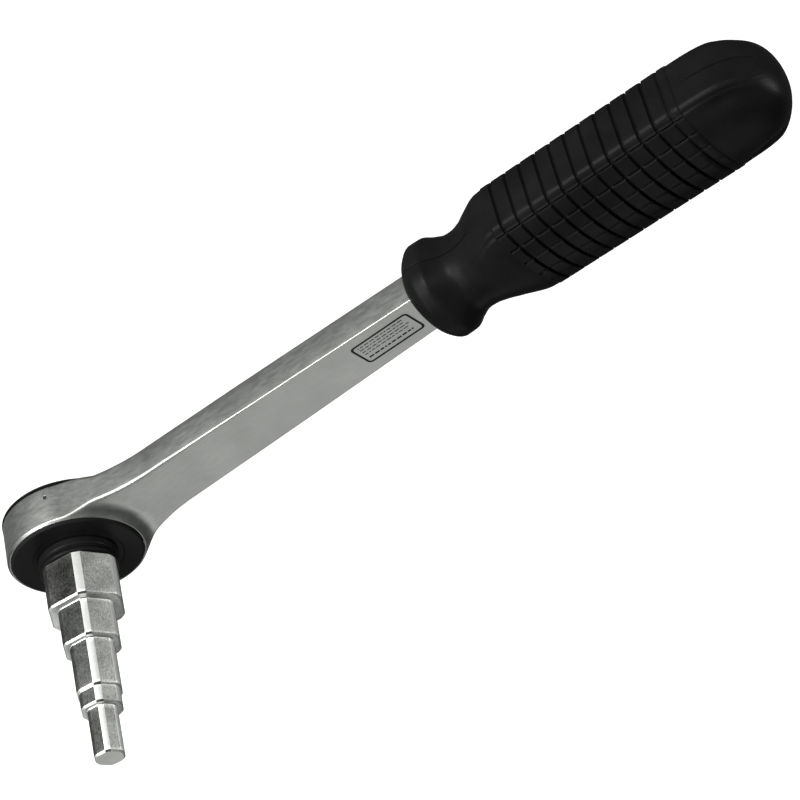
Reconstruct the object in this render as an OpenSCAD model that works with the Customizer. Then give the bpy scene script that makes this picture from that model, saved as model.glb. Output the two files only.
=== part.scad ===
// Ratcheting stepped hex key wrench: round reversible ratchet head, flat forged shank,
// moulded grip, and a five-step hexagon key that stands square out of the head.
// Frame: Z is the drive axis and points to the key's tip, X runs along the handle,
// and the origin is on the drive axis at the outer face of the selector dial.

/* [Head] */
// Outer radius of the round head
head_r = 20; // [19.5:0.1:20.4]
// Height of the head's back face above the dial's outer face
back_z = 0.9; // [0.85:0.05:1]
// Height of the head's rim on the key side
rim_z = 13.2; // [13:0.1:13.4]
// Radius of the black cover disc set into the key side
cover_r = 19; // [18.6:0.1:19.1]
// Diameter of the oil hole in the head's side wall
oil_d = 1.1; // [0.8:0.1:1.4]
// Azimuth of the oil hole, in degrees from the handle
oil_az = 69; // [45:1:90]

/* [Shank] */
// Half width of the shank where it leaves the neck
shank_hw = 9.95; // [9:0.05:10.5]
// Half width of the shank where it enters the grip
shank_end_hw = 7.7; // [7:0.05:8.5]
// Thickness of the shank
shank_t = 8.7; // [8:0.1:9.2]
// Height of the shank's wide face on the key's side
shank_top_z = 10.65; // [10.4:0.05:10.9]
// Height of the grip's middle plane at its front
mid_z = 6.5; // [6.2:0.1:6.8]
// Distance from the drive axis at which the neck fillets end
neck_x = 38; // [36:0.5:42]
// Distance from the drive axis to the front of the grip
grip_x = 130.4; // [128:0.2:133]

/* [Key] */
// Diameter over the turned corners of the first and largest step
step1_d = 22.4; // [22:0.1:22.8]
// Diameter over the turned corners of the second step
step2_d = 17; // [16.6:0.1:17.4]
// Diameter over the turned corners of the third step
step3_d = 13.1; // [12.8:0.1:13.4]
// Diameter over the turned corners of the fourth step
step4_d = 12; // [11.8:0.1:12.2]
// Diameter over the turned corners of the last and smallest step
step5_d = 8.7; // [8.4:0.1:9]
// Height of the key's tip above the dial's outer face
tip_z = 78.8; // [77:0.2:81]
// Angle of the first hexagon corner, in degrees from the handle
hex_az = 53; // [0:1:60]

/* [Ratchet] */
// Number of teeth on the ratchet gear
teeth = 36; // [36]
// Tip radius of the ratchet gear
tip_r = 10.2; // [10.2]
// Root radius of the ratchet gear
root_r = 9.3; // [9.3]
// Turn of the dial from one detent to the other, in degrees
dial_turn = 24; // [24]
// Rock of the pawl from one side to the other, in degrees
pawl_turn = 14; // [14]

/* [Grip] */
// Half width of the grip between its two flat, ribbed sides
grip_hw = 15.8; // [15:0.1:16.2]
// Half thickness of the grip over its two domed faces
grip_ht = 11.8; // [11.2:0.1:12.4]
// Half height of the flat sides
flat_hz = 8.1; // [7.4:0.1:8.4]
// Radius of the round front flange
flange_r = 13.9; // [13.2:0.1:14.4]
// Rise of the grip's middle plane for each millimetre behind the flange
grip_tilt = 0.021; // [0:0.001:0.03]
// Number of ribs' grooves along the grip
grooves = 12; // [10:1:12]
// Distance from one groove to the next
groove_pitch = 4.75; // [4.6:0.05:4.8]
// Depth of each groove
groove_depth = 0.55; // [0.3:0.05:0.8]
// Length over all, from the drive axis to the end of the grip
end_x = 244; // [242:0.5:247]

/* [Hidden] */
$fn = 96;
eps = 0.01;
// Colours
steel = [0.78, 0.79, 0.80];
dark_steel = [0.42, 0.42, 0.42];
black = [0.07, 0.07, 0.075];
bronze = [0.72, 0.55, 0.33];
spring_steel = [0.6, 0.6, 0.62];
// Floors and walls inside the head
dial_floor_z = 2.5;
cavity_z = 3.6;
cover_floor_z = 10.8;
dial_recess_r = 18.1;
cavity_r = 10.7;
bush_r = 8.6;
// Pawl pocket and the window that the dial's boss reaches through
pocket_r = 14.6;
pocket_half = 40;
window_in_r = 13.6;
window_half = 22;
// Pawl
pivot_r = 11.9;
pin_r = 1;
pawl_z = [4.05, 10.4];
pawl_half = 38;
pawl_back = 1.49;
tooth_gap = 0.08;
// Boss of the dial, with the plunger's bore
boss_r = [14, 17.6];
boss_w = 4;
bore_z = 6.9;
bore_r = 1.2;
plunger_r = 1.12;
plunger_tip_r = 13.45;
plunger_back_r = 15.7;
spring_seat_r = 17.2;
// Gear journals, and the key's round root and square tang
journal_r = 7.5;
hub_r = 9.05;
hub_top_z = 14;
tang_w = 9;
root_top_z = 18.9;
collar_r = 11.4;
// Step heights, as shares of the key's length above its collar
step_top = [for (share = [0.226, 0.42, 0.668, 0.756, 1]) root_top_z + share * (tip_z - root_top_z)];
step_d = [step1_d, step2_d, step3_d, step4_d, step5_d];
// Width across flats over the turned diameter, for each step
flat_ratio = [0.915, 0.915, 0.935, 0.94, 0.945];
// Snap rings
ring_t = 0.5;
ring_gap = 10;
// Grip stations: distance along the grip, half width, half thickness, and how flat-sided it is
panel_x = [163.4, 221.6];
groove_x0 = panel_x[0] + 3.2;
panel_rise = 0.3;
grip_stations = [
    [grip_x, 8.3, 6.8, 0],
    [grip_x + 1.2, 10.1, 9.5, 0],
    [grip_x + 3.4, 12.8, 12.9, 0],
    [grip_x + 5.4, flange_r, flange_r + 0.3, 0],
    [grip_x + 8.6, flange_r, flange_r + 0.3, 0],
    [grip_x + 10.6, 12.9, 13.4, 0],
    [grip_x + 12.8, 11.5, 12.1, 0],
    [grip_x + 15.4, 10.7, 11.5, 0],
    [grip_x + 18.4, 10.6, 11.6, 0.1],
    [grip_x + 21.6, 11.4, 12, 0.3],
    [grip_x + 26, 13.6, 12, 0.7],
    [grip_x + 30, 15, 11.8, 0.95],
    [panel_x[0] - eps, grip_hw - panel_rise, grip_ht - panel_rise, 1]];
tail_len = end_x - panel_x[1];
tail_steps = 9;
ring_points = 32;
flat_angle = 33.75;
dome_angle = 33;

// ---- Shared shapes ----

// Points of a circular arc, from angle a0 to a1
function arc(cx, cy, r, a0, a1, n) =
    [for (i = [0 : n]) let (a = a0 + (a1 - a0) * i / n) [cx + r * cos(a), cy + r * sin(a)]];

// Flat sector between two radii, centred on the X axis
module sector(r_in, r_out, half_angle) {
    polygon(concat(arc(0, 0, r_out, -half_angle, half_angle, 24), arc(0, 0, r_in, half_angle, -half_angle, 24)));
}

// Upright tube between two heights
module tube(r_in, r_out, z0, z1) {
    translate([0, 0, z0])
        difference() {
            cylinder(r = r_out, h = z1 - z0);
            translate([0, 0, -1]) cylinder(r = r_in, h = z1 - z0 + 2);
        }
}

// Flat open ring of spring steel
module snap_ring(r_in, r_out, z0, gap_half) {
    difference() {
        tube(r_in, r_out, z0, z0 + ring_t);
        translate([0, 0, z0 - 1])
            linear_extrude(ring_t + 2) sector(r_in - 3, r_out + 3, gap_half);
    }
}

// Tooth outline with its tips and roots moved out, and its flanks widened, by the clearance c
function tooth_points(c) =
    let (pitch = 360 / teeth, half_tip = 0.12 + c * 0.45, half_root = 0.38 + c * 0.45)
    [for (i = [0 : teeth - 1]) for (k = [0 : 3])
        let (share = [-half_tip, half_tip, half_root, 1 - half_root][k],
             r = (k < 2 ? tip_r : root_r) + c,
             a = pitch * (i + share))
        [r * cos(a), r * sin(a)]];

// Round wire wound into a spring along Z
module coil(r, wire_r, turns, length) {
    sides = 6;
    steps = turns * 12;
    rings = [for (i = [0 : steps]) let (a = 360 * turns * i / steps, z = length * i / steps)
        [for (k = [0 : sides - 1]) let (b = 360 * k / sides)
            [(r + wire_r * cos(b)) * cos(a), (r + wire_r * cos(b)) * sin(a), z + wire_r * sin(b)]]];
    points = [for (ring = rings) for (p = ring) p];
    walls = [for (i = [0 : steps - 1]) for (k = [0 : sides - 1])
        let (j = (k + 1) % sides)
        [i * sides + k, i * sides + j, (i + 1) * sides + j, (i + 1) * sides + k]];
    start_cap = [[for (k = [sides - 1 : -1 : 0]) k]];
    end_cap = [[for (k = [0 : sides - 1]) steps * sides + k]];
    polyhedron(points, concat(walls, start_cap, end_cap), convexity = 8);
}

// ---- Forged body ----

// Outline of the neck and shank seen from above: fillets run from the round head to the shank
module shank_outline() {
    inner_r = head_r - 0.15;
    fillet_r = (neck_x * neck_x + shank_hw * shank_hw - inner_r * inner_r) / (2 * (inner_r - shank_hw));
    fillet_y = shank_hw + fillet_r;
    touch = atan2(-fillet_y, -neck_x);
    upper = arc(neck_x, fillet_y, fillet_r, touch, -90, 12);
    lower = [for (i = [len(upper) - 1 : -1 : 0]) [upper[i][0], -upper[i][1]]];
    polygon(concat([[0, 12]], upper, [[grip_x, shank_end_hw], [grip_x, -shank_end_hw]], lower, [[0, -12]]));
}

// Flat tang that the grip is moulded around
module tang() {
    translate([grip_x - eps, 0, mid_z - 3])
        linear_extrude(6) polygon([[0, -7.2], [0, 7.2], [74, 5], [74, -5]]);
}

module head_blank() {
    chamfer = 0.6;
    translate([0, 0, back_z])
        rotate_extrude()
            polygon([[0, 0], [head_r - 0.4, 0], [head_r, 0.4], [head_r, rim_z - back_z - chamfer],
                [head_r - chamfer, rim_z - back_z], [0, rim_z - back_z]]);
}

module wrench_body() {
    color(steel)
        difference() {
            union() {
                head_blank();
                translate([0, 0, shank_top_z - shank_t]) linear_extrude(shank_t) shank_outline();
                tang();
            }
            translate([0, 0, cover_floor_z]) cylinder(r = cover_r + 0.1, h = 5);
            translate([0, 0, cavity_z]) cylinder(r = cavity_r, h = 10);
            translate([0, 0, 0]) cylinder(r = bush_r, h = 10);
            translate([0, 0, -1]) cylinder(r = dial_recess_r, h = 1 + dial_floor_z);
            translate([0, 0, cavity_z]) linear_extrude(10) sector(8, pocket_r, pocket_half);
            translate([0, 0, 1]) linear_extrude(12) sector(window_in_r, dial_recess_r - 0.2, window_half);
            translate([pivot_r, 0, 2]) cylinder(r = pin_r, h = 4);
            tube(cover_r - 1, cover_r + 0.45, 11.7, 11.7 + ring_t);
            tube(dial_recess_r - 1, dial_recess_r + 0.5, 1.6, 1.6 + ring_t);
            rotate([0, 0, oil_az])
                translate([0, 0, cavity_z + 0.7]) rotate([0, 90, 0]) cylinder(d = oil_d, h = 30, $fn = 32);
        }
}

// ---- Grip ----

// Section half sizes of the tail, where t goes from 0 at the panel to 1 at the end
function tail_station(t) =
    [panel_x[1] + tail_len * t,
     max(1.2, (grip_hw - panel_rise) * pow(1 - pow(t, 3), 0.48)),
     max(1.2, (grip_ht - panel_rise) * pow(1 - pow(t, 7), 0.48)),
     1 - pow(max(t - 0.45, 0) / 0.55, 1.5)];

// Stations of one groove: full, floor, floor, full
function groove_stations(x) =
    [for (k = [0 : 3])
        let (cut = (k == 1 || k == 2) ? groove_depth : 0, dx = [-0.5, -0.3, 0.3, 0.5][k])
        [x + dx, grip_hw - cut, grip_ht - cut, 1]];

all_stations = concat(
    grip_stations,
    [[panel_x[0] + panel_rise, grip_hw, grip_ht, 1]],
    [for (i = [0 : grooves - 1]) for (s = groove_stations(groove_x0 + groove_pitch * i)) s],
    [[panel_x[1] - panel_rise, grip_hw, grip_ht, 1]],
    [for (i = [0 : tail_steps]) tail_station(i / tail_steps)]);

// One corner of the flat-sided section with domed faces, for angles 0 to 90
function flat_corner(a, hw, ht) =
    let (hz = min(flat_hz * ht / grip_ht, ht),
         u = (a - flat_angle) / (90 - flat_angle),
         swing = dome_angle * (1 - u))
    a <= flat_angle
        ? [hw, hz * a / flat_angle]
        : [hw * sin(swing) / sin(dome_angle),
           hz + (ht - hz) * (cos(swing) - cos(dome_angle)) / (1 - cos(dome_angle))];

// A point of the section, blended between an oval (0) and the flat-sided form (1)
function section_point(angle, station) =
    let (hw = station[1], ht = station[2], blend = station[3],
         quarter = floor(angle / 90),
         a = (quarter % 2 == 0) ? angle - 90 * quarter : 90 - (angle - 90 * quarter),
         sy = (quarter == 0 || quarter == 3) ? 1 : -1,
         sz = (quarter < 2) ? 1 : -1,
         oval = [hw * cos(a), ht * sin(a)],
         flat = flat_corner(a, hw, ht),
         mix = oval * (1 - blend) + flat * blend)
    [station[0], sy * mix[0], mid_z + grip_tilt * max(station[0] - 140, 0) + sz * mix[1]];

module grip_shell() {
    rings = len(all_stations);
    points = [for (s = all_stations) for (k = [0 : ring_points - 1]) section_point(360 * k / ring_points, s)];
    walls = [for (i = [0 : rings - 2]) for (k = [0 : ring_points - 1])
        let (j = (k + 1) % ring_points, a = i * ring_points + k, b = i * ring_points + j,
             c = b + ring_points, d = a + ring_points)
        each [[a, d, b], [b, d, c]]];
    front = [[for (k = [0 : ring_points - 1]) k]];
    end = [[for (k = [ring_points - 1 : -1 : 0]) (rings - 1) * ring_points + k]];
    polyhedron(points, concat(walls, front, end), convexity = 6);
}

module handle_grip() {
    color(black)
        difference() {
            grip_shell();
            tang();
        }
}

// ---- Key side of the head ----

module cover_disc() {
    color(black)
        difference() {
            translate([0, 0, cover_floor_z + 0.05])
                rotate_extrude()
                    polygon([[hub_r + 0.08, 0], [cover_r, 0], [cover_r, 2.5], [cover_r - 0.45, 2.95],
                        [hub_r + 0.08, 2.95]]);
            tube(cover_r - 0.5, cover_r + 1, 11.7, 11.7 + ring_t);
            tube(hub_r, hub_r + 1.2, 12.1, 13.2);
            translate([pivot_r, 0, 10]) cylinder(r = pin_r, h = 2);
        }
}

module cover_snap_ring() {
    color(spring_steel) rotate([0, 0, 180]) snap_ring(cover_r - 0.45, cover_r + 0.4, 11.7, ring_gap);
}

module hub_seal() {
    color(black) translate([0, 0, 12.65]) rotate_extrude() translate([hub_r + 0.65, 0]) circle(r = 0.5, $fn = 32);
}

module gear_bush() {
    color(bronze) tube(journal_r + 0.05, bush_r, dial_floor_z, cavity_z);
}

// ---- Drive: gear, key and what turns with them ----

module ratchet_gear() {
    color(dark_steel)
        difference() {
            union() {
                translate([0, 0, 4.05]) linear_extrude(6.35) polygon(tooth_points(0));
                translate([0, 0, 2.6]) cylinder(r = journal_r, h = 2);
                translate([0, 0, 10]) cylinder(r = hub_r, h = hub_top_z - 10);
            }
            rotate([0, 0, hex_az])
                translate([-tang_w / 2, -tang_w / 2, 4]) cube([tang_w, tang_w, 20]);
            translate([0, 0, 2]) cylinder(r = 2.6, h = 4);
        }
}

// Turned envelope of the key: five steps, each with a small chamfer at its end
module key_envelope() {
    chamfer = 0.45;
    profile = [for (i = [0 : 4])
        each [[step_d[i] / 2, i == 0 ? root_top_z - 1 : step_top[i - 1]],
              [step_d[i] / 2, step_top[i] - chamfer],
              [step_d[i] / 2 - chamfer, step_top[i]]]];
    rotate_extrude() polygon(concat([[0, root_top_z - 1]], profile, [[0, step_top[4]]]));
}

module step_key() {
    color(dark_steel)
        rotate([0, 0, hex_az])
            difference() {
                union() {
                    translate([-tang_w / 2, -tang_w / 2, 4]) cube([tang_w, tang_w, hub_top_z - 4 + eps]);
                    translate([0, 0, hub_top_z]) cylinder(r = hub_r, h = root_top_z - hub_top_z);
                    intersection() {
                        key_envelope();
                        union() {
                            for (i = [0 : 4]) {
                                low = i == 0 ? root_top_z - 0.4 : step_top[i - 1] - 1;
                                translate([0, 0, low])
                                    cylinder(r = step_d[i] * flat_ratio[i] / sqrt(3), h = step_top[i] - low, $fn = 6);
                            }
                        }
                    }
                }
                translate([0, 0, 0]) cylinder(r = 2.5, h = 12.5, $fn = 48);
            }
}

// Black collar around the key's root, turned with two grooves
module key_collar() {
    color(black)
        rotate_extrude()
            polygon([[hub_r, hub_top_z], [collar_r, hub_top_z], [collar_r + 0.1, 14.2], [collar_r + 0.1, 16],
                [collar_r - 0.3, 16.3], [collar_r - 0.7, 16.5], [collar_r - 0.7, 17.1], [collar_r - 0.1, 17.3],
                [collar_r - 0.1, 18.1], [collar_r - 0.4, 18.4], [hub_r, 18.4]]);
}

module key_circlip() {
    color(black) snap_ring(collar_r - 0.7, collar_r - 0.15, 16.55, 8);
}

module key_screw() {
    color(spring_steel)
        difference() {
            union() {
                translate([0, 0, 2]) cylinder(r = 2.5, h = 10, $fn = 48);
                translate([0, 0, 1.15]) cylinder(r = 4, h = 1.05);
            }
            translate([0, 0, 0]) cylinder(r = 1.7, h = 2.4, $fn = 6);
        }
}

module screw_washer() {
    color(spring_steel) tube(2.6, 6.2, 2.2, 2.6);
}

module thrust_washer() {
    color(bronze) tube(journal_r + 0.05, 10.2, cavity_z + 0.03, 4);
}

module wave_washer() {
    color(spring_steel) tube(hub_r + 0.05, 10.3, 10.43, 10.78);
}

// ---- Selector: dial, spring and plunger, drawn at the middle and turned to one detent ----

module at_detent() {
    rotate([0, 0, -dial_turn / 2]) children();
}

module selector_dial() {
    color(black)
        at_detent()
            difference() {
                union() {
                    rotate_extrude()
                        polygon([[0, 0], [head_r - 0.5, 0], [head_r + 0.1, 0.25], [head_r + 0.1, back_z - 0.1],
                            [dial_recess_r - 0.08, back_z - 0.1], [dial_recess_r - 0.08, dial_floor_z - 0.1],
                            [0, dial_floor_z - 0.1]]);
                    translate([boss_r[0], -boss_w / 2, dial_floor_z - 1])
                        cube([boss_r[1] - boss_r[0], boss_w, bore_z + 1.9 - dial_floor_z + 1]);
                }
                translate([0, 0, back_z]) cylinder(r = 6.6, h = 4);
                tube(dial_recess_r - 0.65, dial_recess_r + 1, 1.55, 1.65 + ring_t);
                translate([boss_r[0] - 1, 0, bore_z])
                    rotate([0, 90, 0]) cylinder(r = bore_r, h = spring_seat_r - boss_r[0] + 1, $fn = 48);
            }
}

module dial_snap_ring() {
    color(spring_steel)
        rotate([0, 0, 90]) snap_ring(dial_recess_r - 0.55, dial_recess_r + 0.45, 1.6, ring_gap);
}

module pawl_plunger() {
    color(spring_steel)
        at_detent() {
            tip = plunger_tip_r + plunger_r;
            translate([tip, 0, bore_z])
                rotate([0, 90, 0]) cylinder(r = plunger_r, h = plunger_back_r - tip, $fn = 48);
            intersection() {
                translate([tip, 0, bore_z]) sphere(r = plunger_r, $fn = 48);
                translate([plunger_tip_r - 1, -2, bore_z - 2]) cube([tip - plunger_tip_r + 1 + eps, 4, 4]);
            }
        }
}

module pawl_spring() {
    color(spring_steel)
        at_detent()
            translate([plunger_back_r + 0.16, 0, bore_z])
                rotate([0, 90, 0]) coil(0.85, 0.14, 3, spring_seat_r - plunger_back_r - 0.32);
}

// ---- Pawl ----

module pawl_outline() {
    difference() {
        union() {
            sector(root_r - 0.5, pivot_r + 0.6, pawl_half);
            translate([root_r - 0.5, -3.4]) square([pivot_r + pawl_back - root_r + 0.5, 6.8]);
        }
        circle(r = root_r + tooth_gap);
        sector(1, tip_r + 0.45, 18.5);
        for (side = [-1, 1])
            translate([pivot_r, 0]) rotate(side * pawl_turn / 2) translate([-pivot_r, 0])
                polygon(tooth_points(tooth_gap));
    }
}

module pawl() {
    color(dark_steel)
        translate([pivot_r, 0, 0]) rotate([0, 0, -pawl_turn / 2]) translate([-pivot_r, 0, 0])
            difference() {
                translate([0, 0, pawl_z[0]]) linear_extrude(pawl_z[1] - pawl_z[0]) pawl_outline();
                translate([pivot_r, 0, 3]) cylinder(r = pin_r + 0.05, h = 10);
            }
}

module pawl_pin() {
    color(spring_steel) translate([pivot_r, 0, 2.5]) cylinder(r = pin_r, h = 9.4);
}

wrench_body();
handle_grip();
cover_disc();
cover_snap_ring();
hub_seal();
gear_bush();
pawl_pin();
dial_snap_ring();
ratchet_gear();
step_key();
key_collar();
key_circlip();
key_screw();
screw_washer();
thrust_washer();
wave_washer();
selector_dial();
pawl_spring();
pawl_plunger();
pawl();
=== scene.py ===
"""Looks for the ratcheting stepped hex key wrench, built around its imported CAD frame."""
import math
from collections import namedtuple

import bmesh
import bpy
import numpy as np
from mathutils import Matrix, Vector


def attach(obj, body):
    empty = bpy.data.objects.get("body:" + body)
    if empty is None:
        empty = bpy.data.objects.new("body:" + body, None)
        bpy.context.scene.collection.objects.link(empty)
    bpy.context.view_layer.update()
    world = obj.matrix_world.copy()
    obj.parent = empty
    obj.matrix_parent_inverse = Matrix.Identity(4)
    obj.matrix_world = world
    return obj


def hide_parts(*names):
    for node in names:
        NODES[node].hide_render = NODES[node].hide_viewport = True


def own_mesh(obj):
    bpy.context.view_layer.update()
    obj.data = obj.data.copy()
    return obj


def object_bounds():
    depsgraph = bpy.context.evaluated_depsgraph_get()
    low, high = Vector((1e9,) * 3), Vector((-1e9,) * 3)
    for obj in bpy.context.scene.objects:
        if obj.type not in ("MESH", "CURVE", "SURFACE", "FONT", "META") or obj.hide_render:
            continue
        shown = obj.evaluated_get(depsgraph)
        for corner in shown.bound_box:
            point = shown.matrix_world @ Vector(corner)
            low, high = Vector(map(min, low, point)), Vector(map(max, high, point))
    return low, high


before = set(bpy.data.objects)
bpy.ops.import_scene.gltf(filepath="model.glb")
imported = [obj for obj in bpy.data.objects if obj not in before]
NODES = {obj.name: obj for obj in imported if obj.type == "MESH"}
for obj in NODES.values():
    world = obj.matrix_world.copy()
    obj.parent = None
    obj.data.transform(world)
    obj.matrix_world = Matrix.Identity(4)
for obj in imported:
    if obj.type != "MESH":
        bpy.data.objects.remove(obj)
cad_low, cad_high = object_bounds()
MM = 0.001

# Head, in millimetres. The frame's origin is on the key's axis, at the dial's outer face.
HEAD_R = 20.0
RIM_Z, BACK_Z = 13.2, 0.9
RIM_R, BACK_RIM_R = 19.42, 19.55
COVER_RECESS_R, COVER_RECESS_Z = 19.1, 12.3
DIAL_RECESS_R, DIAL_RECESS_Z = 18.1, 1.4
OIL_AZ, OIL_Z, OIL_DEPTH = 69.0, 4.3, 1.3
# Radii of the oil hole's floor and of its mouth
OIL_R = (0.36, 0.58)

# Neck and shank
SHANK_TOP, SHANK_LOW = 10.65, 1.95
SHANK_HW, SHANK_END_HW = 9.95, 7.7
# Where the neck leaves the round head, as a distance and an azimuth, and where its fillets end
NECK_START, NECK_AZ, NECK_END = 9.95, 60.2, 38.0
# Azimuth at which the neck's mesh ends and the head wall's begins
PATCH_AZ = 65.0
# The neck's lines start on the rim as far as the boss's tip, then spread along the centre line
BOSS_TIP, FAN_END = 30.0, 60.0
# Sweep from the shank up to the rim: its run over its rise on top, and its radii at the back
SWEEP_RUN = 1.75
BACK_SWEEP_R = (20.6, 24.2)
# Edge radii at the head and at the grip, and how far the narrow sides bulge
HEAD_ROUND, GRIP_ROUND, CROWN = 0.28, 0.3, 0.12
# Etched panel: its ends, middle and half width
MARK_X, MARK_Y, MARK_HW = (107.3, 126.9), 0.3, 4.55

# Grip
MID_Z, GRIP_TILT, TILT_START = 6.5, 0.021, 140.0
GRIP_X, END_X = 130.4, 244.0
PANEL_X = (163.4, 221.6)
PANEL_RISE = 0.3
TAIL = END_X - PANEL_X[1]
GRIP_HW, GRIP_HT = 15.8, 11.8
# Half height of the flat sides, half angle of the domes, and the share of a quarter that is flat
FLAT_HZ, DOME, CORNER = 8.1, math.radians(33.0), 0.36
CROSS_GROOVES = [PANEL_X[0] + 3.2 + 4.75 * i for i in range(12)]
# Distances along a dome from its corner
LONG_GROOVES = [1.75 + 5.7 * i for i in range(4)]
HOLLOW_X, HOLLOW_ARC = PANEL_X[1] + 9.5, 3.4

# Key, cover and collar
HEX_AZ = 53.0
ROOT_TOP, TIP_Z = 18.9, 78.8
HUB_R = 9.05
COVER_BORE_R, COVER_R = 9.13, 18.98
COVER_LOW, COVER_TOP = 10.85, 13.8
COLLAR_LOW, COLLAR_TOP, COLLAR_BORE_R = 14.02, 18.4, 9.06

# Plunger's spring, on the line from the drive axis through the dial's detent
DETENT = math.radians(-12)
SPRING_Z, SPRING_FRONT, SPRING_LENGTH = 6.9, 15.86, 1.18
SPRING_R, WIRE_R = 0.85, 0.13


# ---- Mesh helpers ----

def smoothstep(x, low, high):
    """Smooth rise from 0 to 1 as x goes from low to high."""
    t = min(max((x - low) / (high - low), 0.0), 1.0)
    return t * t * (3 - 2 * t)


def turned(x, y, z, turn):
    """Point turned about the Z axis."""
    return x * math.cos(turn) - y * math.sin(turn), x * math.sin(turn) + y * math.cos(turn), z


def new_object(name, bm, smooth_angle=32.0):
    """Turns a bmesh in millimetres into an object in metres, smooth but for edges sharper than the angle."""
    bmesh.ops.remove_doubles(bm, verts=bm.verts, dist=1e-4)
    bmesh.ops.recalc_face_normals(bm, faces=bm.faces)
    limit = math.radians(smooth_angle)
    for face in bm.faces:
        face.smooth = True
    for edge in bm.edges:
        if len(edge.link_faces) == 2 and edge.calc_face_angle(0.0) > limit:
            edge.smooth = False
    bmesh.ops.scale(bm, vec=(MM, MM, MM), verts=bm.verts)
    mesh = bpy.data.meshes.new(name)
    bm.to_mesh(mesh)
    bm.free()
    obj = bpy.data.objects.new(name, mesh)
    bpy.context.scene.collection.objects.link(obj)
    return obj


def add_loft(bm, rings, closed=True, caps=True):
    """Skins rings of points, each ring with the same number of points."""
    rows = [[bm.verts.new(p) for p in ring] for ring in rings]
    count = len(rows[0])
    for a, b in zip(rows, rows[1:]):
        for k in range(count if closed else count - 1):
            j = (k + 1) % count
            bm.faces.new([a[k], a[j], b[j], b[k]])
    if caps:
        bm.faces.new(rows[0])
        bm.faces.new(list(reversed(rows[-1])))


def add_lathe(bm, profile, segments=192):
    """Turns a profile of (radius, height) pairs round the Z axis."""
    rows = []
    for i in range(segments):
        a = math.radians(360.0 * i / segments)
        rows.append([bm.verts.new((r * math.cos(a), r * math.sin(a), z)) for r, z in profile])
    for a, b in zip(rows, rows[1:] + rows[:1]):
        for k in range(len(profile) - 1):
            bm.faces.new([a[k], b[k], b[k + 1], a[k + 1]])


def rounded(points, closed=False, steps=4):
    """Rounds the corners of a polyline of (x, y) or (x, y, radius) points."""
    out = []
    count = len(points)
    for i, point in enumerate(points):
        x, y = point[:2]
        radius = point[2] if len(point) > 2 else 0.0
        if radius <= 0 or (not closed and i in (0, count - 1)):
            out.append((x, y))
            continue
        p = np.array([x, y])
        a = np.array(points[i - 1][:2]) - p
        b = np.array(points[(i + 1) % count][:2]) - p
        la, lb = np.linalg.norm(a), np.linalg.norm(b)
        a, b = a / la, b / lb
        half = math.acos(max(-1.0, min(1.0, float(a @ b)))) / 2
        cut = min(radius / math.tan(half), 0.49 * la, 0.49 * lb)
        r = cut * math.tan(half)
        centre = p + (a + b) / np.linalg.norm(a + b) * (r / math.sin(half))
        t0, t1 = p + a * cut - centre, p + b * cut - centre
        a0 = math.atan2(t0[1], t0[0])
        turn = (math.atan2(t1[1], t1[0]) - a0 + math.pi) % (2 * math.pi) - math.pi
        for k in range(steps + 1):
            a_k = a0 + turn * k / steps
            out.append((float(centre[0] + r * math.cos(a_k)), float(centre[1] + r * math.sin(a_k))))
    return out


# ---- Wrench body: forged head, neck and shank ----

# A wide face of the forging: its heights at the head's rim and on the shank, the rim's radius, the
# radius along the shank's edge, and how far from the rim the points lie close together
WideFace = namedtuple("WideFace", "rim_z shank_z rim_r edge_r close_run")
TOP = WideFace(RIM_Z, SHANK_TOP, RIM_R, 0.85, 2.7)
BACK = WideFace(BACK_Z, SHANK_LOW, BACK_RIM_R, 1.0, 4.6)


def shank_half_width(x):
    """Half width of the neck's fillet and the shank at a distance from the drive axis."""
    if x < NECK_END:
        fillet_r = (NECK_END ** 2 + SHANK_HW ** 2 - HEAD_R ** 2) / (2 * (HEAD_R - SHANK_HW))
        return SHANK_HW + fillet_r - math.sqrt(fillet_r ** 2 - (NECK_END - x) ** 2)
    return SHANK_HW + (SHANK_END_HW - SHANK_HW) * (x - NECK_END) / (GRIP_X - NECK_END)


def neck_lines():
    """Pairs of plan points, from the head to the grip: one on the rim or centre line, one on the outline."""
    pairs = []
    for az in np.arange(PATCH_AZ, NECK_AZ + 0.2, -1.5):
        a = math.radians(az)
        pairs.append(tuple((r * math.cos(a), r * math.sin(a)) for r in (RIM_R, HEAD_R)))
    # Closest together where the lines leave the rim for the centre line
    spans = ((NECK_START, 29.2, 0.55), (29.2, 32.9, 0.13), (33.0, NECK_END, 0.55),
             (NECK_END, GRIP_X + 5, 3.2))
    for x in np.concatenate([np.arange(*span) for span in spans]):
        if x < BOSS_TIP:
            a = math.radians(NECK_AZ * (BOSS_TIP - x) / (BOSS_TIP - NECK_START))
            inner = (RIM_R * math.cos(a), RIM_R * math.sin(a))
        else:
            fan = (x - BOSS_TIP) * (FAN_END - RIM_R) / (FAN_END - BOSS_TIP)
            inner = (min(x, RIM_R + fan), 0.0)
        pairs.append((inner, (x, shank_half_width(x))))
    return pairs


def boss_height(r, az, wide):
    """Height of a wide face round the head: a sweep up to the rim, or the rim's chamfer at its sides."""
    rise = abs(wide.rim_z - wide.shank_z)
    if wide is TOP:
        sweep = rise * max(1 - (r - wide.rim_r) / (SWEEP_RUN * rise), 0.0) ** 2
    else:
        sweep = rise * (1 - smoothstep(r, *BACK_SWEEP_R))
    bevel = rise - max(r - wide.rim_r, 0.0)
    side = smoothstep(az, 50.0, PATCH_AZ - 1)
    outward = 1 if wide is TOP else -1
    return wide.shank_z + outward * (sweep * (1 - side) + bevel * side)


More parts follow.
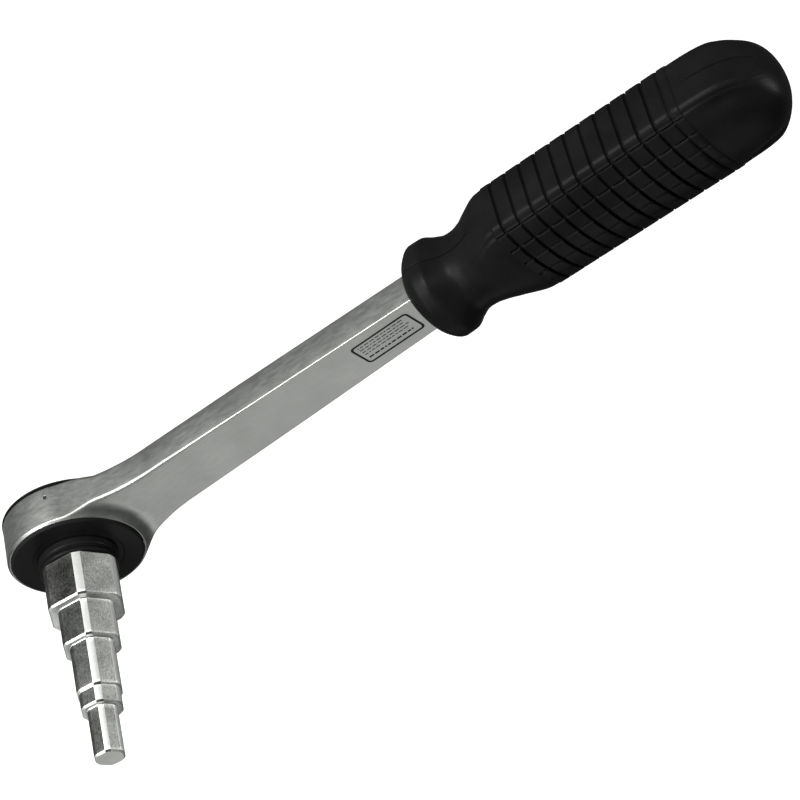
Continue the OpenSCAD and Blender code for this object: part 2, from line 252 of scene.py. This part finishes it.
def neck_strip(inner, outer, tangent, wide):
    """Points of a wide face from the rim or centre line to its rounded edge, and the narrow side's crown."""
    inner, outer = np.array(inner), np.array(outer)
    edge = HEAD_ROUND + (wide.edge_r - HEAD_ROUND) * smoothstep(outer[0], 9.5, 20)
    edge += (GRIP_ROUND - wide.edge_r) * smoothstep(outer[0], 25, 85)
    crown = CROWN * smoothstep(outer[0], 20, 45)
    outer = outer - np.array([tangent[1], -tangent[0]]) * crown
    run = float(np.linalg.norm(outer - inner))
    near, far = min(wide.close_run, 0.45 * run), min(edge * 1.15, 0.45 * run)
    steps = np.concatenate([
        near * np.linspace(0, 1, 12) ** 1.5,
        near + (run - near - far) * np.linspace(0, 1, 7)[1:-1],
        run - far + far * np.sin(np.linspace(0, 1, 9) * math.pi / 2)])
    outward = 1 if wide is TOP else -1
    points = []
    for step in steps:
        p = inner + (outer - inner) * (step / run)
        gap = abs((outer - p)[0] * tangent[1] - (outer - p)[1] * tangent[0])
        drop = edge - math.sqrt(max(edge * edge - max(edge - gap, 0.0) ** 2, 0.0))
        height = boss_height(math.hypot(*p), math.degrees(math.atan2(p[1], p[0])), wide)
        points.append((p[0], p[1], height - outward * drop))
    return points, crown


def add_neck(bm, side):
    """One side of the neck and shank: half of both wide faces, and the narrow side between them."""
    pairs = neck_lines()
    outers = np.array([outer for _, outer in pairs])
    tangents = np.gradient(outers, axis=0)
    tangents /= np.linalg.norm(tangents, axis=1)[:, None]
    rows = []
    for (inner, outer), tangent in zip(pairs, tangents):
        a = math.atan2(inner[1], inner[0])
        back_inner = (BACK_RIM_R * math.cos(a), BACK_RIM_R * math.sin(a)) if inner[1] > 0 else inner
        top, crown = neck_strip(inner, outer, tangent, TOP)
        back, _ = neck_strip(back_inner, outer, tangent, BACK)
        edge_x, edge_y, top_z = top[-1]
        fall = back[-1][2] - top_z
        wall = []
        for s in np.linspace(0, 1, 11)[1:-1]:
            bulge = crown * (1 - (2 * s - 1) ** 2)
            wall.append((edge_x - tangent[1] * bulge, edge_y + tangent[0] * bulge, top_z + fall * s))
        rows.append([(x, side * y, z) for x, y, z in top + wall + back[::-1]])
    add_loft(bm, rows, closed=False, caps=False)


def add_head_wall(bm):
    """Side wall, chamfers and oil hole of the head, away from the neck."""
    azimuths = np.concatenate([np.linspace(PATCH_AZ, 360 - PATCH_AZ, 161),
                               np.linspace(OIL_AZ - 2.4, OIL_AZ + 2.4, 33)])
    hole_top, hole_low = OIL_Z + 1.1, OIL_Z - 1.1
    top_bevel = (HEAD_R, RIM_Z - (HEAD_R - RIM_R), 0.3)
    back_bevel = (HEAD_R, BACK_Z + (HEAD_R - BACK_RIM_R), 0.3)
    profile = rounded([(RIM_R, RIM_Z), top_bevel, (HEAD_R, hole_top)], steps=5)
    profile += [(HEAD_R, z) for z in np.linspace(hole_top, hole_low, 25)[1:]]
    profile += rounded([(HEAD_R, hole_low), back_bevel, (BACK_RIM_R, BACK_Z)], steps=5)[1:]
    rows = []
    for az in sorted(set(np.round(azimuths, 4))):
        a = math.radians(az)
        row = []
        for r, z in profile:
            away = math.hypot(math.radians(az - OIL_AZ) * HEAD_R, z - OIL_Z)
            cut_r = r - OIL_DEPTH * (1 - smoothstep(away, *OIL_R))
            row.append((cut_r * math.cos(a), cut_r * math.sin(a), z))
        rows.append(row)
    add_loft(bm, rows, closed=False, caps=False)


def build_body():
    """Forged body round the machined inside of the head."""
    bm = bmesh.new()
    for side in (1, -1):
        add_neck(bm, side)
    add_head_wall(bm)
    cover_recess = [(COVER_RECESS_R, COVER_RECESS_Z), (COVER_RECESS_R, RIM_Z, 0.12), (RIM_R, RIM_Z)]
    dial_recess = [(BACK_RIM_R, BACK_Z), (DIAL_RECESS_R, BACK_Z, 0.12), (DIAL_RECESS_R, DIAL_RECESS_Z)]
    for recess in (cover_recess, dial_recess):
        add_lathe(bm, rounded(recess, steps=3), segments=256)

    # The inside comes from the CAD part
    mesh = NODES["wrench_body"].data
    for polygon in mesh.polygons:
        centre = polygon.center / MM
        between = DIAL_RECESS_Z + 0.05 < centre.z < COVER_RECESS_Z - 0.05
        if between and math.hypot(centre.x, centre.y) < HEAD_R - 0.5:
            bm.faces.new([bm.verts.new(mesh.vertices[v].co / MM) for v in polygon.vertices])
    return new_object("body_forging", bm, 30)


def build_mark():
    """Plain etched panel on the shank: a rounded frame and rows of dashes, with no lettering."""
    bm = bmesh.new()
    z = SHANK_TOP + 0.012

    def frame_ring(inset, radius):
        x0, x1, y = MARK_X[0] + inset, MARK_X[1] - inset, MARK_HW - inset
        corners = [(x0, y, radius), (x1, y, radius), (x1, -y, radius), (x0, -y, radius)]
        return [(px, py + MARK_Y, z) for px, py in rounded(corners, closed=True, steps=6)]

    add_loft(bm, [frame_ring(-0.05, 1.3), frame_ring(0.62, 0.8)], caps=False)
    rows = [(3.0 - 1.15 * k, 0.17) for k in range(4)] + [(-2.3, 0.3)]
    for row, (y, half) in enumerate(rows):
        x, k = MARK_X[0] + 1.6, 0
        while x < MARK_X[1] - 2.9:
            dash = 0.5 + 1.1 * abs(math.sin(3.7 * k + 1.9 * row))
            corners = [(x, y - half), (x + dash, y - half), (x + dash, y + half), (x, y + half)]
            bm.faces.new([bm.verts.new((px, py + MARK_Y, z)) for px, py in corners])
            x, k = x + dash + 0.38, k + 1
    return new_object("shank_mark", bm)


# ---- Moulded grip ----

GRIP_TABLE = np.array([
    # distance from the grip's front, half width, half thickness, flat-sidedness
    (0.0, 7.9, 6.4, 0.0), (0.5, 8.9, 7.9, 0.0), (3.0, 12.4, 12.4, 0.0),
    (5.6, 13.9, 14.2, 0.0), (8.6, 13.8, 14.1, 0.0), (11.4, 12.2, 12.8, 0.0),
    (15.3, 10.7, 11.5, 0.0), (17.6, 10.55, 11.5, 0.08), (20.8, 11.1, 11.9, 0.25),
    (24.0, 12.6, 12.1, 0.5), (30.4, 15.1, 11.8, 0.95), (33.0, 15.5, 11.5, 1.0)])


def monotone(xs, ys, x):
    """Height at x of a smooth curve through a table, with no overshoot."""
    h = np.diff(xs)
    slope = np.diff(ys) / h
    product, total = slope[:-1] * slope[1:], slope[:-1] + slope[1:]
    m = np.zeros_like(ys)
    m[1:-1] = np.where(product > 0, 2 * product / np.where(total == 0, 1, total), 0)
    m[0], m[-1] = slope[0], slope[-1]
    i = min(max(int(np.searchsorted(xs, x)) - 1, 0), len(h) - 1)
    t = (x - xs[i]) / h[i]
    return float((1 + 2 * t) * (1 - t) ** 2 * ys[i] + t * (1 - t) ** 2 * h[i] * m[i]
                 + t * t * (3 - 2 * t) * ys[i + 1] + t * t * (t - 1) * h[i] * m[i + 1])


def grip_size(x):
    """Half width, half thickness and flat-sidedness of the grip at x."""
    if x < PANEL_X[0]:
        return tuple(monotone(GRIP_TABLE[:, 0], GRIP_TABLE[:, k], x - GRIP_X) for k in (1, 2, 3))
    t = min(max(x - PANEL_X[1], 0.0) / TAIL, 0.9999)
    return ((GRIP_HW - PANEL_RISE) * (1 - t ** 3) ** 0.48, (GRIP_HT - PANEL_RISE) * (1 - t ** 7) ** 0.48,
            1.0 - smoothstep(t, 0.5, 1.0))


def grip_stations():
    """Places along the grip, close together at the panel's ends, at its cross grooves and in the tail."""
    xs = np.concatenate([
        np.arange(GRIP_X, PANEL_X[0] - 0.4, 0.6),
        np.linspace(PANEL_X[0] - 0.4, PANEL_X[0] + 0.5, 6),
        np.arange(PANEL_X[0] + 1.0, PANEL_X[1] - 0.6, 1.1),
        np.linspace(PANEL_X[1] - 0.5, PANEL_X[1] + 0.4, 6),
        PANEL_X[1] + TAIL * np.sin(np.linspace(0.04, 1, 44) * math.pi / 2)])
    xs = set(np.round(xs, 4).tolist())
    for groove in CROSS_GROOVES:
        xs = {x for x in xs if abs(x - groove) > 0.62}
        xs |= set(np.round(groove + np.linspace(-0.55, 0.55, 9), 4).tolist())
    return sorted(xs)


def grip_columns():
    """Positions round one quarter of the section, from the flat side's middle (0) to the dome's top (1)."""
    parting_line = [0, 0.004, 0.008, 0.012, 0.016, 0.022]
    return np.concatenate([parting_line, np.linspace(0.0375, 0.30, 8), np.linspace(0.31, 0.44, 14),
                           np.linspace(0.45, 1.0, 56)])


def grip_point(q, hw, ht, blend):
    """Point of the quarter section at q, with the arc length from the corner, below 0 on the flat side."""
    hz = min(FLAT_HZ * ht / GRIP_HT, ht)
    if q <= CORNER:
        flat = np.array([hw, hz * q / CORNER])
        arc = -(CORNER - q) / CORNER * hz
    else:
        u = (q - CORNER) / (1 - CORNER)
        swing = DOME * (1 - u)
        flat = np.array([hw * math.sin(swing) / math.sin(DOME),
                         hz + (ht - hz) * (math.cos(swing) - math.cos(DOME)) / (1 - math.cos(DOME))])
        arc = u * hw / math.sin(DOME) * DOME
    # Round the corner between the flat side and the dome
    near = math.exp(-(arc / 1.3) ** 4) * 0.6
    flat = flat - near * np.array([0.75, 0.5])
    a = math.atan2(flat[1] / ht, flat[0] / hw)
    oval = np.array([hw * math.cos(a), ht * math.sin(a)])
    return oval * (1 - blend) + flat * blend, arc


def grip_normal(q, point, arc, hw, ht, blend):
    """Direction out of the section: an oval's, or the panel's, which turns from its flat side to its dome."""
    if blend > 0.5:
        swing = DOME * (1 - max(q - CORNER, 0.0) / (1 - CORNER))
        turn = smoothstep(arc, -0.9, 0.9)
        normal = np.array([1 - turn + math.sin(swing) * turn, math.cos(swing) * turn])
    else:
        normal = np.array([point[0] / hw ** 2, point[1] / ht ** 2])
    return normal / np.linalg.norm(normal)


def over_panel(x, near, far):
    """1 over the ribbed panel and 0 beyond it, changing between near and far inside its ends."""
    return (smoothstep(x, PANEL_X[0] + near, PANEL_X[0] + far)
            - smoothstep(x, PANEL_X[1] - far, PANEL_X[1] - near))


def valley(distance, half_width, depth):
    """Depth of a round-bottomed groove at a distance from its middle line."""
    t = min(abs(distance) / half_width, 1.0)
    return depth * (1 - t * t) ** 1.5


def cross_depth(x):
    """Depth of the cross grooves at x. The last one is shallower."""
    depth = max(valley(x - groove, 0.55, 0.8) for groove in CROSS_GROOVES[:-1])
    return max(depth, valley(x - CROSS_GROOVES[-1], 0.5, 0.5))


def belly_depth(x, arc):
    """Depth of the lengthwise grooves and of the tail's shallow hollow, on the domed side."""
    if arc <= 0:
        return 0.0
    depth = 0.0
    if PANEL_X[0] < x < PANEL_X[1]:
        depth = max(valley(arc - groove, 0.52, 0.75) for groove in LONG_GROOVES) * over_panel(x, 0.1, 0.5)
    hollow = math.exp(-((x - HOLLOW_X) / 5.5) ** 2 - ((arc - HOLLOW_ARC) / 2.3) ** 2)
    return max(depth, 0.9 * hollow)


def parting_depth(x, height):
    """Depth of the mould's parting line, which shows on the front flange and the tail."""
    if PANEL_X[0] - 8 <= x <= PANEL_X[1] + 4:
        return 0.0
    return valley(height, 0.26, 0.6 * (1 - smoothstep(x, END_X - 3.5, END_X - 1.2)))


def build_grip():
    """Moulded grip, as rings round its length. The last ring closes its tail."""
    columns = grip_columns()
    rings = []
    for x in grip_stations():
        hw, ht, blend = grip_size(x)
        rise = PANEL_RISE * over_panel(x, -0.1, 0.35)
        across = cross_depth(x)
        quarter = []
        for q in columns:
            point, arc = grip_point(q, hw, ht, blend)
            depth = max(across, belly_depth(x, arc), parting_depth(x, point[1]))
            quarter.append(point + grip_normal(q, point, arc, hw, ht, blend) * (rise - depth))
        mid = MID_Z + GRIP_TILT * max(x - TILT_START, 0)
        ring = [(x, y, mid + z) for y, z in quarter]
        ring += [(x, -y, mid + z) for y, z in reversed(quarter[:-1])]
        ring += [(x, -y, mid - z) for y, z in quarter[1:]]
        ring += [(x, y, mid - z) for y, z in reversed(quarter[1:-1])]
        rings.append(ring)
    bm = bmesh.new()
    add_loft(bm, rings)
    return new_object("grip_moulding", bm, 50)


# ---- Stepped key ----

# Each step: its top as a share of the key's length, diameter over its corners, and flats over diameter
KEY_STEPS = ((0.226, 22.4, 0.915), (0.42, 17.0, 0.915), (0.668, 13.1, 0.935), (0.756, 12.0, 0.94),
             (1.0, 8.7, 0.945))
# Heights above a step's start and below its top, each with the outline's inset there
FOOT = ((0.0, 0.3), (0.3, 0.0))
ROOT_FILLET = ((0.02, -0.2), (0.08, -0.06), (0.22, 0.0))
CHAMFER = ((0.5, 0.0), (0.42, 0.03), (0.06, 0.4), (0.0, 0.5))
# Points in each sixth of a ring: the turned corner's, then the flat's
LAND_POINTS, FLAT_SHARES = 7, (0.06, 0.25, 0.5, 0.75, 0.94)
SIXTH = LAND_POINTS + len(FLAT_SHARES)
# Material slots of the key: a painted-lit and a painted-shade copy of one blasted steel, turned steel that
# also serves as painted highlight, and faced steel
BLASTED_PAINTED_LIT, LAND_AND_PAINTED_HIGHLIGHT, FACED, SHADED = range(4)


def hexagon(radius, flat, z, inset):
    """Hexagon section with turned corners; the inset moves it in all round."""
    half = 30.0 - math.degrees(math.acos(flat / radius))
    r = radius - inset
    points = []
    for k in range(6):
        corner = 60.0 * k
        for s in np.linspace(-half, half, LAND_POINTS):
            a = math.radians(HEX_AZ + corner + s)
            points.append((r * math.cos(a), r * math.sin(a), z))
        a0, a1 = math.radians(corner + half), math.radians(corner + 60 - half)
        for s in FLAT_SHARES:
            x = r * (math.cos(a0) * (1 - s) + math.cos(a1) * s)
            y = r * (math.sin(a0) * (1 - s) + math.sin(a1) * s)
            points.append(turned(x, y, z, math.radians(HEX_AZ)))
    return points


def key_slot(index, ring_faces, normal_z):
    """Material slot of the key's face with this index. Three of the six sides carry painted shade and
    highlight: their flats, two of their corners and the front corner's chamfer take a darker copy of the
    steel, and their shoulders take the bright turned steel. The other three take a lighter, painted-lit copy
    of the steel on their flats and shoulders, and turned steel on their corners.
    """
    if index >= ring_faces:
        return FACED
    sixth, spot = divmod(index % (6 * SIXTH), SIXTH)
    corner = spot < LAND_POINTS - 1
    if abs(normal_z) > 0.3:
        # Painted dark notch: the front corner's sloped chamfer faces take the painted-shade steel
        if corner and sixth == 0 and normal_z < 0.95:
            return SHADED
        # Painted highlight: shoulders on three sides take the bright turned steel, the others the painted-lit
        # steel
        return LAND_AND_PAINTED_HIGHLIGHT if sixth < 3 else BLASTED_PAINTED_LIT
    if corner:
        # Painted shade on two corners; the other corners keep the turned steel
        return SHADED if sixth in (1, 2) else LAND_AND_PAINTED_HIGHLIGHT
    # Painted shade on three sides' flats, painted light on the other three
    return SHADED if sixth < 3 else BLASTED_PAINTED_LIT


def build_key():
    """Five hexagon steps on a round root."""
    rings = []
    start, foot = ROOT_TOP - 0.4, FOOT
    for share, diameter, ratio in KEY_STEPS:
        top = ROOT_TOP + share * (TIP_Z - ROOT_TOP)
        levels = [(start + up, inset) for up, inset in foot]
        levels += [(start + (top - start) * s, 0.0) for s in (0.1, 0.5, 0.9)]
        levels += [(top - down, inset) for down, inset in CHAMFER]
        rings += [hexagon(diameter / 2, diameter / 2 * ratio, z, inset) for z, inset in levels]
        start, foot = top, ROOT_FILLET
    bm = bmesh.new()
    add_loft(bm, rings)
    for index, face in enumerate(bm.faces):
        face.normal_update()
        face.material_index = key_slot(index, 6 * SIXTH * (len(rings) - 1), face.normal.z)
    root_top = ROOT_TOP - 0.02
    add_lathe(bm, [(0.0, root_top), (HUB_R, root_top), (HUB_R, COLLAR_LOW), (0.0, COLLAR_LOW)], segments=96)
    return new_object("key_steps", bm, 24)


# ---- Cover, collar and spring ----

def build_cover():
    """Disc round the hub, with one ring groove."""
    outline = [(COVER_BORE_R, COVER_LOW), (COVER_BORE_R, COVER_TOP, 0.2),
               (12.6, COVER_TOP, 0.1), (12.9, 13.7, 0.2), (13.2, COVER_TOP, 0.1),
               (18.35, COVER_TOP, 0.4), (COVER_R, 13.2, 0.5), (COVER_R, COVER_LOW)]
    bm = bmesh.new()
    add_lathe(bm, rounded(outline, steps=6) + outline[:1], segments=256)
    return new_object("cover_face", bm, 40)


def build_collar():
    """Collar with a groove for its ring."""
    outline = [(COLLAR_BORE_R, COLLAR_LOW), (11.3, COLLAR_LOW, 0.1), (11.48, 14.2, 0.15),
               (11.48, 16.0, 0.3), (11.15, 16.35, 0.2), (10.75, 16.45, 0.1), (10.75, 17.1, 0.1),
               (11.2, 17.2, 0.15), (11.28, 18.05, 0.3), (10.95, COLLAR_TOP, 0.2), (COLLAR_BORE_R, COLLAR_TOP)]
    bm = bmesh.new()
    add_lathe(bm, rounded(outline, steps=5) + outline[:1])
    return new_object("collar_ring", bm, 40)


def build_spring():
    """Wire spring of three turns behind the pawl's plunger."""
    steps, sides = 72, 8
    rings = []
    for i in range(steps + 1):
        a = 6 * math.pi * i / steps
        ring = []
        for k in range(sides):
            b = 2 * math.pi * k / sides
            across = SPRING_R + WIRE_R * math.cos(b)
            x = SPRING_FRONT + SPRING_LENGTH * i / steps + WIRE_R * math.sin(b)
            ring.append(turned(x, across * math.sin(a), SPRING_Z - across * math.cos(a), DETENT))
        rings.append(ring)
    bm = bmesh.new()
    add_loft(bm, rings)
    return new_object("spring_coil", bm, 60)


# ---- Materials ----

def nodes_of(name):
    """New material, its node tree and its main shader."""
    material = bpy.data.materials.new(name)
    material.use_nodes = True
    tree = material.node_tree
    return material, tree, tree.nodes["Principled BSDF"]


def add(tree, kind, **values):
    """Adds a shader node and sets its inputs or properties."""
    node = tree.nodes.new(kind)
    for key, value in values.items():
        if key in node.inputs:
            node.inputs[key].default_value = value
        else:
            setattr(node, key, value)
    return node


def noise(tree, source, scale, detail, roughness=0.5, stretch=(1, 1, 1)):
    """Noise from a place, stretched along the axes."""
    mapping = add(tree, "ShaderNodeMapping", Scale=stretch)
    tree.links.new(source, mapping.inputs["Vector"])
    node = add(tree, "ShaderNodeTexNoise", Scale=scale, Detail=detail, Roughness=roughness)
    tree.links.new(mapping.outputs["Vector"], node.inputs["Vector"])
    return node.outputs["Fac"]


def ramp(tree, source, stops):
    """Colour ramp with two stops, each a position with a grey or a colour."""
    node = tree.nodes.new("ShaderNodeValToRGB")
    for element, (position, value) in zip(node.color_ramp.elements, stops):
        element.position = position
        element.color = (*value, 1) if isinstance(value, tuple) else (value, value, value, 1)
    tree.links.new(source, node.inputs["Fac"])
    return node.outputs["Color"]


def bump(tree, shader, height, strength, distance):
    """Raises the surface by a noise."""
    node = add(tree, "ShaderNodeBump", Strength=strength, Distance=distance)
    tree.links.new(height, node.inputs["Height"])
    tree.links.new(node.outputs["Normal"], shader.inputs["Normal"])


def metal(name, dark, light, rough, grain, stretch=(1, 1, 1), bump_strength=0.15):
    """Metal whose colour and gloss vary with a fine grain."""
    material, tree, shader = nodes_of(name)
    place = add(tree, "ShaderNodeTexCoord").outputs["Object"]
    fine = noise(tree, place, grain, 6, 0.65, stretch)
    broad = noise(tree, place, 60, 3)
    both = add(tree, "ShaderNodeMath", operation="MULTIPLY")
    tree.links.new(fine, both.inputs[0])
    tree.links.new(broad, both.inputs[1])
    tree.links.new(ramp(tree, both.outputs[0], [(0.12, dark), (0.42, light)]), shader.inputs["Base Color"])
    tree.links.new(ramp(tree, fine, [(0.3, rough[0]), (0.7, rough[1])]), shader.inputs["Roughness"])
    shader.inputs["Metallic"].default_value = 1.0
    bump(tree, shader, fine, bump_strength, 0.0001)
    return material


def plastic(name, dark, light, rough, grain=2500, bump_strength=0.25, specular=0.5):
    """Dark moulded or coated surface with a fine grain."""
    material, tree, shader = nodes_of(name)
    place = add(tree, "ShaderNodeTexCoord").outputs["Object"]
    fine = noise(tree, place, grain, 3, 0.6)
    broad = noise(tree, place, 90, 4)
    tree.links.new(ramp(tree, broad, [(0.35, dark), (0.65, light)]), shader.inputs["Base Color"])
    tree.links.new(ramp(tree, broad, [(0.3, rough[0]), (0.7, rough[1])]), shader.inputs["Roughness"])
    shader.inputs["Specular IOR Level"].default_value = specular
    bump(tree, shader, fine, bump_strength, 0.00008)
    return material


CHROME = metal("satin_chrome", (0.215, 0.225, 0.211), (0.288, 0.3, 0.283), (0.37, 0.44),
               900, (0.3, 1, 1), 0.12)
# The key's blasted steel as two copies: this lighter one carries painted light, the next darker one painted
# shade
KEY_STEEL_PAINTED_LIT = metal("blasted_key_steel_painted_lit", (0.11, 0.114, 0.108), (0.56, 0.578, 0.548), (0.48, 0.64),
                  2400, (1, 1, 0.6), 0.9)
# Darker copy of the blasted steel: painted shade for three sides of the key
KEY_PAINTED_SHADE = metal("blasted_key_steel_painted_shade", (0.006, 0.0062, 0.006), (0.125, 0.129, 0.122), (0.48, 0.64),
                 2200, (1, 1, 0.6), 1.0)
# Turned steel of the corner lands, kept bright so that it also serves as a painted highlight on three sides'
# shoulders
TURNED_AND_HIGHLIGHT = metal("turned_steel_and_painted_highlight", (0.62, 0.633, 0.61), (0.80, 0.81, 0.785), (0.44, 0.52),
               2600, (0.4, 0.4, 1.5), 0.25)
SHOULDER = metal("faced_steel", (0.36, 0.372, 0.352), (0.52, 0.535, 0.51), (0.42, 0.52),
                 2600, bump_strength=0.4)
MARK = metal("etched_mark", (0.008, 0.0085, 0.008), (0.02, 0.021, 0.02), (0.5, 0.65),
             2600, bump_strength=0.3)
INNER_STEEL = metal("hardened_steel", (0.22, 0.22, 0.22), (0.36, 0.36, 0.36), (0.35, 0.5), 1800)
SPRING = metal("spring_steel", (0.45, 0.45, 0.46), (0.62, 0.62, 0.64), (0.22, 0.34),
               1800, bump_strength=0.08)
BRONZE = metal("sintered_bronze", (0.46, 0.33, 0.18), (0.68, 0.50, 0.30), (0.35, 0.5),
               3000, bump_strength=0.3)
GRIP_BLACK = plastic("moulded_grip", (0.0032, 0.0032, 0.0034), (0.0048, 0.0048, 0.005), (0.32, 0.42),
                     specular=0.022)
BLACK_METAL = plastic("blackened_steel", 0.003, 0.006, (0.32, 0.42), 1500, 0.15, 0.06)
COVER_BLACK = plastic("satin_black_cover", 0.004, 0.007, (0.38, 0.5), 1800, 0.15, 0.035)
RUBBER = plastic("seal_rubber", 0.008, 0.014, (0.6, 0.75), bump_strength=0.2)


# ---- Pieces on the frame ----

def place_piece(obj, materials, body, replaces=None):
    """Gives a piece its materials, the body that it rides on and the node that it stands for."""
    for material in materials:
        obj.data.materials.append(material)
    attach(obj, body)
    if replaces:
        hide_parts(replaces)


place_piece(build_body(), [CHROME], "frame", "wrench_body")
place_piece(build_mark(), [MARK], "frame")
place_piece(build_grip(), [GRIP_BLACK], "frame", "handle_grip")
# The key's slots: painted-lit steel, turned steel that doubles as painted highlight, faced steel,
# painted-shade steel
place_piece(build_key(), [KEY_STEEL_PAINTED_LIT, TURNED_AND_HIGHLIGHT, SHOULDER, KEY_PAINTED_SHADE], "drive", "step_key")
place_piece(build_cover(), [COVER_BLACK], "frame", "cover_disc")
place_piece(build_collar(), [BLACK_METAL], "drive", "key_collar")
spring = build_spring()
place_piece(spring, [SPRING], "selector", "pawl_spring")
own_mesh(spring)

# The CAD's own nodes whose shape is right
CARRIED = (
    (COVER_BLACK, ("selector_dial",)),
    (BLACK_METAL, ("key_circlip",)),
    (SPRING, ("cover_snap_ring", "dial_snap_ring", "pawl_pin", "key_screw", "screw_washer", "wave_washer",
              "pawl_plunger")),
    (RUBBER, ("hub_seal",)),
    (BRONZE, ("gear_bush", "thrust_washer")),
    (INNER_STEEL, ("ratchet_gear", "pawl")))
for material, names in CARRIED:
    for name in names:
        NODES[name].data.materials.clear()
        NODES[name].data.materials.append(material)


# ---- Camera, floor and lights ----

def add_camera():
    data = bpy.data.cameras.new("camera")
    data.lens = 112.5
    data.sensor_width = 36.0
    camera = bpy.data.objects.new("camera", data)
    bpy.context.scene.collection.objects.link(camera)
    bpy.context.scene.camera = camera
    right, up = Vector((0.758, -0.619, 0.205)).normalized(), Vector((0.501, 0.351, -0.791))
    up = (up - right * up.dot(right)).normalized()
    turn = Matrix((right, up, right.cross(up))).transposed()
    camera.matrix_world = Matrix.Translation((0.3880, 0.4576, 0.4058)) @ turn.to_4x4()


def camera_mix(tree, lit, seen, output):
    """Gives camera rays one shader and all other rays the other."""
    mix = add(tree, "ShaderNodeMixShader")
    tree.links.new(add(tree, "ShaderNodeLightPath").outputs["Is Camera Ray"], mix.inputs["Fac"])
    tree.links.new(lit.outputs[0], mix.inputs[1])
    tree.links.new(seen.outputs[0], mix.inputs[2])
    tree.links.new(mix.outputs[0], output.inputs["Surface"])


def add_floor():
    """White floor that throws little light back on the tool."""
    bm = bmesh.new()
    bmesh.ops.create_grid(bm, x_segments=8, y_segments=8, size=3000)
    floor = new_object("floor", bm)
    floor.location.z = cad_low[2]
    material, tree, shader = nodes_of("pale_floor")
    shader.inputs["Base Color"].default_value = (0.4, 0.4, 0.4, 1)
    shader.inputs["Roughness"].default_value = 0.9
    shader.inputs["Emission Color"].default_value = (1, 1, 1, 1)
    shader.inputs["Emission Strength"].default_value = 0.92
    dim = add(tree, "ShaderNodeBsdfDiffuse", Color=(0.15, 0.15, 0.15, 1))
    camera_mix(tree, dim, shader, tree.nodes["Material Output"])
    floor.data.materials.append(material)


def area_light(name, place, target, size, power):
    data = bpy.data.lights.new(name, "AREA")
    data.shape = "RECTANGLE"
    data.size, data.size_y = size
    data.energy = power
    light = bpy.data.objects.new(name, data)
    bpy.context.scene.collection.objects.link(light)
    light.location = place
    light.rotation_euler = (Vector(target) - Vector(place)).to_track_quat("-Z", "Y").to_euler()


def add_world():
    """Dim white surroundings that the camera sees as bright."""
    world = bpy.data.worlds.new("studio")
    bpy.context.scene.world = world
    world.use_nodes = True
    tree = world.node_tree
    lit = tree.nodes["Background"]
    lit.inputs["Color"].default_value = (1, 1, 1, 1)
    lit.inputs["Strength"].default_value = 0.08
    seen = add(tree, "ShaderNodeBackground", Color=(1, 1, 1, 1), Strength=0.95)
    camera_mix(tree, lit, seen, tree.nodes["World Output"])


add_camera()
add_floor()
area_light("overhead", (-0.35, -0.3, 1.6), (0.05, 0, 0), (1.1, 1.1), 2.5)
area_light("right_box", (1.0, -0.22, 0.09), (0.0, 0, 0.04), (0.35, 0.2), 8)
area_light("corner_box", (0.75, 0.72, 0.10), (0.02, 0, 0.03), (0.35, 0.3), 3.4)
area_light("front_box", (0.06, 1.08, 0.12), (0.03, 0, 0.01), (0.45, 0.3), 24)
area_light("left_box", (-0.42, 0.98, 0.12), (0.12, 0, 0.01), (0.35, 0.3), 6)
area_light("crest_box", (-0.27, 0.93, 0.43), (0.19, 0, 0.02), (0.25, 0.25), 9)
area_light("edge_box", (-0.36, 0.62, 0.74), (0.02, 0, 0.01), (0.35, 0.35), 4.4)
area_light("back_box", (-0.36, -0.9, 0.74), (0.08, 0, 0), (0.7, 0.6), 2.6)
add_world()
bpy.context.scene.view_settings.view_transform = "Standard"
